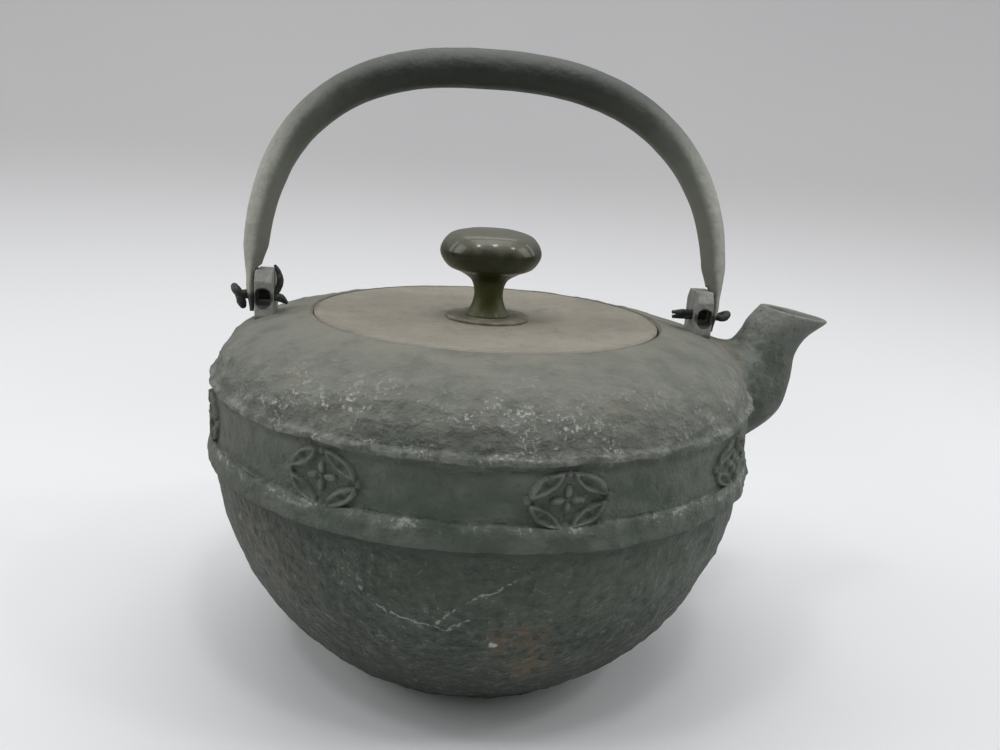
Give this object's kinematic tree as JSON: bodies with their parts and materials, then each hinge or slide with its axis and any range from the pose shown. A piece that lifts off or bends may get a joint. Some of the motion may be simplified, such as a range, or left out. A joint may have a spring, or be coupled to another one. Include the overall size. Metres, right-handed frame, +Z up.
{
  "type": "cast iron kettle teapot",
  "caption": "Round cast iron pouring kettle with a swinging bail handle on split pins, a lift-off scooped lid with a bronze knob, and a short flared spout.",
  "frame": {"origin": "centre of the flat base, on the vessel's axis, on the surface that it stands on", "axes": "+Z up along the vessel's axis, +X towards the spout, the handle's hinge axis parallel to X"},
  "size_m": [0.205, 0.1776, 0.197],
  "materials": {
    "cast_iron": "rough sand-cast, dusty grey",
    "lid_iron": "smoother casting, warm dusty grey",
    "handle_iron": "forged, worn grey",
    "pin_iron": "black oxide",
    "bronze": "dark olive patina, worn bright on top"
  },
  "bodies": {
    "kettle": {"kettle_body": "cast_iron", "spout": "cast_iron", "spout_lug": "cast_iron", "rear_lug": "cast_iron", "spout_split_pin": "pin_iron", "rear_split_pin": "pin_iron"},
    "handle": {"handle": "handle_iron"},
    "lid": {"lid": "lid_iron", "knob": "bronze", "knob_washer": "bronze", "knob_backing_washer": "bronze"}
  },
  "joints": [
    {"name": "handle_swing", "type": "hinge", "parent": "kettle", "child": "handle", "pos_m": [0, 0, 0.11754], "axis": [1, 0, 0], "range_deg": [-88, 88]},
    {"name": "lid_lift", "type": "slide", "parent": "kettle", "child": "lid", "axis": [0, 0, 1], "range_m": [0, 0.038]}
  ]
}
